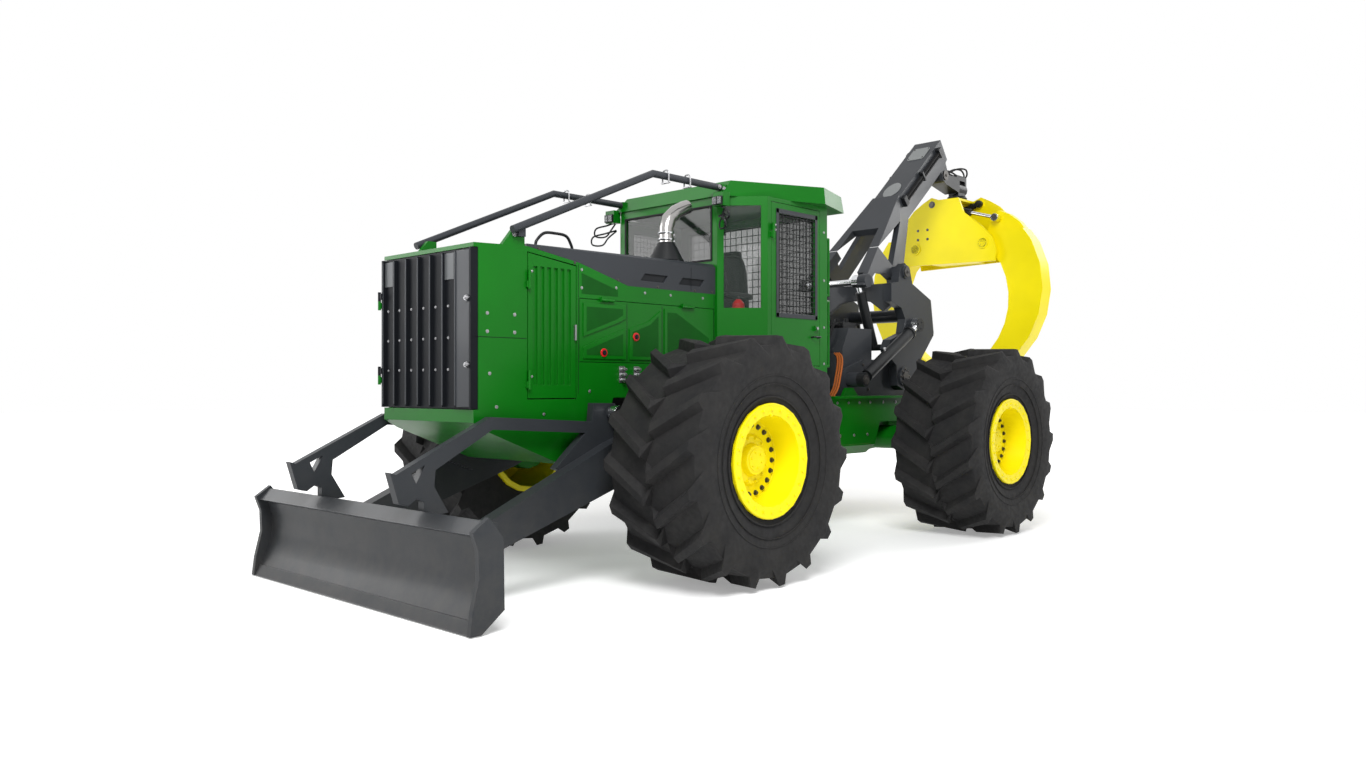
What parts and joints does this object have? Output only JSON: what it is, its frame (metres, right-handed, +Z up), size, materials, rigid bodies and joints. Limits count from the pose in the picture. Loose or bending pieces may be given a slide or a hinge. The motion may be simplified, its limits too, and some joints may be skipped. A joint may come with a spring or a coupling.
{
  "type": "grapple skidder",
  "caption": "Articulated forestry skidder with a dozer blade, hinged hood, cab, rear arch, boom and rotating grapple for dragging logs.",
  "frame": {"origin": "middle of the footprint at ground level", "axes": "-Y is the machine's front, +X its left side, +Z up"},
  "size_m": [3.796, 8.8636, 4.554],
  "materials": {
    "green_paint": "gloss enamel",
    "grey_paint": "satin enamel",
    "yellow_paint": "gloss enamel",
    "black_metal": "satin",
    "chrome_rod": "polished",
    "tyre_rubber": "matt",
    "black_vinyl": "soft satin",
    "exhaust_steel": "heat-dulled"
  },
  "bodies": {
    "arch": {"arch": "grey_paint"},
    "rear_frame": {"arch_base": "grey_paint", "rear_axle": "green_paint", "rear_frame": "green_paint"},
    "arch_cylinder_left_barrel": {"arch_cylinder_left_barrel": "black_metal"},
    "arch_cylinder_left_rod": {"arch_cylinder_left_rod": "chrome_rod"},
    "arch_cylinder_right_barrel": {"arch_cylinder_right_barrel": "black_metal"},
    "arch_cylinder_right_rod": {"arch_cylinder_right_rod": "chrome_rod"},
    "blade": {"blade_arms": "grey_paint", "blade_mouldboard": "grey_paint"},
    "boom": {"boom": "grey_paint"},
    "boom_cylinder_barrels": {"boom_cylinder_barrels": "black_metal"},
    "boom_cylinder_rods": {"boom_cylinder_rods": "chrome_rod"},
    "main_frame": {"brush_guard_left": "grey_paint", "brush_guard_right": "grey_paint", "cab_roof": "green_paint", "cab_shell": "green_paint", "control_console": "black_vinyl", "engine_block": "black_metal", "exhaust_stack": "exhaust_steel", "front_axle": "green_paint", "front_frame": "green_paint", "hood_body": "green_paint", "hood_top": "grey_paint", "operator_seat": "black_vinyl"},
    "cab_door_left": {"cab_door_left": "green_paint"},
    "cab_door_right": {"cab_door_right": "green_paint"},
    "clamp_cylinder_left_barrel": {"clamp_cylinder_left_barrel": "black_metal"},
    "clamp_cylinder_left_rod": {"clamp_cylinder_left_rod": "chrome_rod"},
    "clamp_cylinder_right_barrel": {"clamp_cylinder_right_barrel": "black_metal"},
    "clamp_cylinder_right_rod": {"clamp_cylinder_right_rod": "chrome_rod"},
    "crosshead": {"crosshead": "black_metal"},
    "engine_door_left": {"engine_door_left": "green_paint"},
    "engine_door_right": {"engine_door_right": "green_paint"},
    "grapple_body": {"grapple_body": "yellow_paint"},
    "grille_door": {"grille_door": "black_metal"},
    "lift_cylinder_left_barrel": {"lift_cylinder_left_barrel": "black_metal"},
    "lift_cylinder_left_rod": {"lift_cylinder_left_rod": "chrome_rod"},
    "lift_cylinder_right_barrel": {"lift_cylinder_right_barrel": "black_metal"},
    "lift_cylinder_right_rod": {"lift_cylinder_right_rod": "chrome_rod"},
    "louvre_door_left": {"louvre_door_left": "green_paint"},
    "louvre_door_right": {"louvre_door_right": "green_paint"},
    "wheel_front_left": {"rim_front_left": "yellow_paint", "tyre_front_left": "tyre_rubber"},
    "wheel_front_right": {"rim_front_right": "yellow_paint", "tyre_front_right": "tyre_rubber"},
    "wheel_rear_left": {"rim_rear_left": "yellow_paint", "tyre_rear_left": "tyre_rubber"},
    "wheel_rear_right": {"rim_rear_right": "yellow_paint", "tyre_rear_right": "tyre_rubber"},
    "rotator_head": {"rotator_head": "black_metal"},
    "steering_cylinder_left_barrel": {"steering_cylinder_left_barrel": "black_metal"},
    "steering_cylinder_left_rod": {"steering_cylinder_left_rod": "chrome_rod"},
    "steering_cylinder_right_barrel": {"steering_cylinder_right_barrel": "black_metal"},
    "steering_cylinder_right_rod": {"steering_cylinder_right_rod": "chrome_rod"},
    "tong_left": {"tong_left": "yellow_paint"},
    "tong_right": {"tong_right": "yellow_paint"}
  },
  "joints": [
    {"name": "steering", "type": "hinge", "parent": "main_frame", "child": "rear_frame", "pos_m": [0, 0.00985, 0.95236], "axis": [0, 0, 1], "range_deg": [-45, 45]},
    {"name": "wheel_front_left_roll", "type": "hinge", "parent": "main_frame", "child": "wheel_front_left", "pos_m": [1.448, -1.92315, 0.95236], "axis": [-1, 0, 0], "continuous": true},
    {"name": "wheel_front_right_roll", "type": "hinge", "parent": "main_frame", "child": "wheel_front_right", "pos_m": [-1.448, -1.92315, 0.95236], "axis": [-1, 0, 0], "continuous": true},
    {"name": "wheel_rear_left_roll", "type": "hinge", "parent": "rear_frame", "child": "wheel_rear_left", "pos_m": [1.448, 1.94285, 0.95236], "axis": [-1, 0, 0], "continuous": true},
    {"name": "wheel_rear_right_roll", "type": "hinge", "parent": "rear_frame", "child": "wheel_rear_right", "pos_m": [-1.448, 1.94285, 0.95236], "axis": [-1, 0, 0], "continuous": true},
    {"name": "blade_lift", "type": "hinge", "parent": "main_frame", "child": "blade", "pos_m": [0, -2.20315, 1.03], "axis": [-1, 0, 0], "range_deg": [-5, 25]},
    {"name": "grille_door_hinge", "type": "hinge", "parent": "main_frame", "child": "grille_door", "pos_m": [-0.614, -3.73415, 1.348], "axis": [0, 0, 1], "range_deg": [-100, 0]},
    {"name": "louvre_door_left_hinge", "type": "hinge", "parent": "main_frame", "child": "louvre_door_left", "pos_m": [0.618, -3.22098, 1.4195], "axis": [0, 0, 1], "range_deg": [-100, 0]},
    {"name": "louvre_door_right_hinge", "type": "hinge", "parent": "main_frame", "child": "louvre_door_right", "pos_m": [-0.618, -3.22098, 1.4195], "axis": [0, 0, -1], "range_deg": [-100, 0]},
    {"name": "engine_door_left_hinge", "type": "hinge", "parent": "main_frame", "child": "engine_door_left", "pos_m": [0.618, -2.72315, 2.186], "axis": [0, 1, 0], "range_deg": [-75, 0]},
    {"name": "engine_door_right_hinge", "type": "hinge", "parent": "main_frame", "child": "engine_door_right", "pos_m": [-0.618, -2.72315, 2.186], "axis": [0, -1, 0], "range_deg": [-75, 0]},
    {"name": "cab_door_left_hinge", "type": "hinge", "parent": "main_frame", "child": "cab_door_left", "pos_m": [0.974, -0.80815, 1.7], "axis": [0, 0, 1], "range_deg": [-85, 0]},
    {"name": "cab_door_right_hinge", "type": "hinge", "parent": "main_frame", "child": "cab_door_right", "pos_m": [-0.974, -0.80815, 1.7], "axis": [0, 0, -1], "range_deg": [-85, 0]},
    {"name": "arch_tilt", "type": "hinge", "parent": "rear_frame", "child": "arch", "pos_m": [0, 2.02685, 1.62], "axis": [-1, 0, 0], "range_deg": [0, 45]},
    {"name": "boom_tilt", "type": "hinge", "parent": "arch", "child": "boom", "pos_m": [0, 2.05685, 2.78], "axis": [-1, 0, 0], "range_deg": [0, 50]},
    {"name": "crosshead_pin", "type": "hinge", "parent": "boom", "child": "crosshead", "pos_m": [0, 3.65685, 4.15], "axis": [-1, 0, 0], "range_deg": [-50, 0]},
    {"name": "grapple_swing", "type": "hinge", "parent": "crosshead", "child": "rotator_head", "pos_m": [0, 4.19685, 4.06], "axis": [0, 1, 0], "range_deg": [-20, 20]},
    {"name": "grapple_rotate", "type": "hinge", "parent": "rotator_head", "child": "grapple_body", "pos_m": [0, 4.19685, 3.916], "axis": [0, 0, 1], "continuous": true},
    {"name": "tong_left_pivot", "type": "hinge", "parent": "grapple_body", "child": "tong_left", "pos_m": [0.477, 4.19685, 3.307], "axis": [0, -1, 0], "range_deg": [0, 50]},
    {"name": "tong_right_pivot", "type": "hinge", "parent": "grapple_body", "child": "tong_right", "pos_m": [-0.477, 4.19685, 3.307], "axis": [0, 1, 0], "range_deg": [0, 50]},
    {"name": "steering_cylinder_left_swivel", "type": "hinge", "parent": "main_frame", "child": "steering_cylinder_left_barrel", "pos_m": [0.42, -1.22315, 1.371], "axis": [0, 0, 1], "range_deg": [-5.6, 5.6]},
    {"name": "steering_cylinder_left_stroke", "type": "slide", "parent": "steering_cylinder_left_barrel", "child": "steering_cylinder_left_rod", "axis": [0, 1, 0], "range_m": [-0.317, 0.317]},
    {"name": "lift_cylinder_left_swivel", "type": "hinge", "parent": "main_frame", "child": "lift_cylinder_left_barrel", "pos_m": [0.8, -1.44315, 1.2], "axis": [1, 0, 0], "range_deg": [-8, 2]},
    {"name": "lift_cylinder_left_stroke", "type": "slide", "parent": "lift_cylinder_left_barrel", "child": "lift_cylinder_left_rod", "axis": [0, -0.9957, 0.0922], "range_m": [-0.122, 0.026]},
    {"name": "arch_cylinder_left_swivel", "type": "hinge", "parent": "rear_frame", "child": "arch_cylinder_left_barrel", "pos_m": [0.62, 1.10985, 1.581], "axis": [1, 0, 0], "range_deg": [-16.9, 0.5]},
    {"name": "arch_cylinder_left_stroke", "type": "slide", "parent": "arch_cylinder_left_barrel", "child": "arch_cylinder_left_rod", "axis": [0, 0.8691, 0.4947], "range_m": [-0.002, 0.261]},
    {"name": "steering_cylinder_right_swivel", "type": "hinge", "parent": "main_frame", "child": "steering_cylinder_right_barrel", "pos_m": [-0.42, -1.22315, 1.371], "axis": [0, 0, 1], "range_deg": [-5.6, 5.6]},
    {"name": "steering_cylinder_right_stroke", "type": "slide", "parent": "steering_cylinder_right_barrel", "child": "steering_cylinder_right_rod", "axis": [0, 1, 0], "range_m": [-0.317, 0.317]},
    {"name": "lift_cylinder_right_swivel", "type": "hinge", "parent": "main_frame", "child": "lift_cylinder_right_barrel", "pos_m": [-0.8, -1.44315, 1.2], "axis": [1, 0, 0], "range_deg": [-8, 2]},
    {"name": "lift_cylinder_right_stroke", "type": "slide", "parent": "lift_cylinder_right_barrel", "child": "lift_cylinder_right_rod", "axis": [0, -0.9957, 0.0922], "range_m": [-0.122, 0.026]},
    {"name": "arch_cylinder_right_swivel", "type": "hinge", "parent": "rear_frame", "child": "arch_cylinder_right_barrel", "pos_m": [-0.62, 1.10985, 1.581], "axis": [1, 0, 0], "range_deg": [-16.9, 0.5]},
    {"name": "arch_cylinder_right_stroke", "type": "slide", "parent": "arch_cylinder_right_barrel", "child": "arch_cylinder_right_rod", "axis": [0, 0.8691, 0.4947], "range_m": [-0.002, 0.261]},
    {"name": "boom_cylinder_swivel", "type": "hinge", "parent": "arch", "child": "boom_cylinder_barrels", "pos_m": [0, 1.79685, 1.94], "axis": [1, 0, 0], "range_deg": [-13.2, 0.5]},
    {"name": "boom_cylinder_stroke", "type": "slide", "parent": "boom_cylinder_barrels", "child": "boom_cylinder_rods", "axis": [0, -0.4001, 0.9165], "range_m": [-0.002, 0.457]},
    {"name": "clamp_cylinder_left_swivel", "type": "hinge", "parent": "grapple_body", "child": "clamp_cylinder_left_barrel", "pos_m": [-0.234, 4.05285, 3.868], "axis": [0, 1, 0], "range_deg": [-0.5, 6.3]},
    {"name": "clamp_cylinder_left_stroke", "type": "slide", "parent": "clamp_cylinder_left_barrel", "child": "clamp_cylinder_left_rod", "axis": [0.959, 0, -0.2835], "range_m": [-0.279, 0.002]},
    {"name": "clamp_cylinder_right_swivel", "type": "hinge", "parent": "grapple_body", "child": "clamp_cylinder_right_barrel", "pos_m": [0.234, 4.34085, 3.868], "axis": [0, 1, 0], "range_deg": [-6.3, 0.5]},
    {"name": "clamp_cylinder_right_stroke", "type": "slide", "parent": "clamp_cylinder_right_barrel", "child": "clamp_cylinder_right_rod", "axis": [-0.959, 0, -0.2835], "range_m": [-0.279, 0.002]}
  ],
  "couplings": [
    {"joint": "crosshead_pin", "follows": "boom_tilt", "ratio": -1},
    {"joint": "tong_right_pivot", "follows": "tong_left_pivot", "ratio": 1},
    {"joint": "steering_cylinder_left_swivel", "follows": "steering", "ratio": 0.11339},
    {"joint": "steering_cylinder_left_stroke", "follows": "steering", "m_per_rad": 0.40161},
    {"joint": "lift_cylinder_left_swivel", "follows": "blade_lift", "ratio": -0.30049},
    {"joint": "lift_cylinder_left_stroke", "follows": "blade_lift", "m_per_rad": -0.27605},
    {"joint": "arch_cylinder_left_swivel", "follows": "arch_tilt", "ratio": -0.36455},
    {"joint": "arch_cylinder_left_stroke", "follows": "arch_tilt", "m_per_rad": 0.32929},
    {"joint": "steering_cylinder_right_swivel", "follows": "steering", "ratio": 0.11339},
    {"joint": "steering_cylinder_right_stroke", "follows": "steering", "m_per_rad": -0.40161},
    {"joint": "lift_cylinder_right_swivel", "follows": "blade_lift", "ratio": -0.30049},
    {"joint": "lift_cylinder_right_stroke", "follows": "blade_lift", "m_per_rad": -0.27605},
    {"joint": "arch_cylinder_right_swivel", "follows": "arch_tilt", "ratio": -0.36455},
    {"joint": "arch_cylinder_right_stroke", "follows": "arch_tilt", "m_per_rad": 0.32929},
    {"joint": "boom_cylinder_swivel", "follows": "boom_tilt", "ratio": -0.25307},
    {"joint": "boom_cylinder_stroke", "follows": "boom_tilt", "m_per_rad": 0.52165},
    {"joint": "clamp_cylinder_left_swivel", "follows": "tong_left_pivot", "ratio": 0.11661},
    {"joint": "clamp_cylinder_left_stroke", "follows": "tong_left_pivot", "m_per_rad": -0.31789},
    {"joint": "clamp_cylinder_right_swivel", "follows": "tong_left_pivot", "ratio": -0.11661},
    {"joint": "clamp_cylinder_right_stroke", "follows": "tong_left_pivot", "m_per_rad": -0.31789}
  ]
}
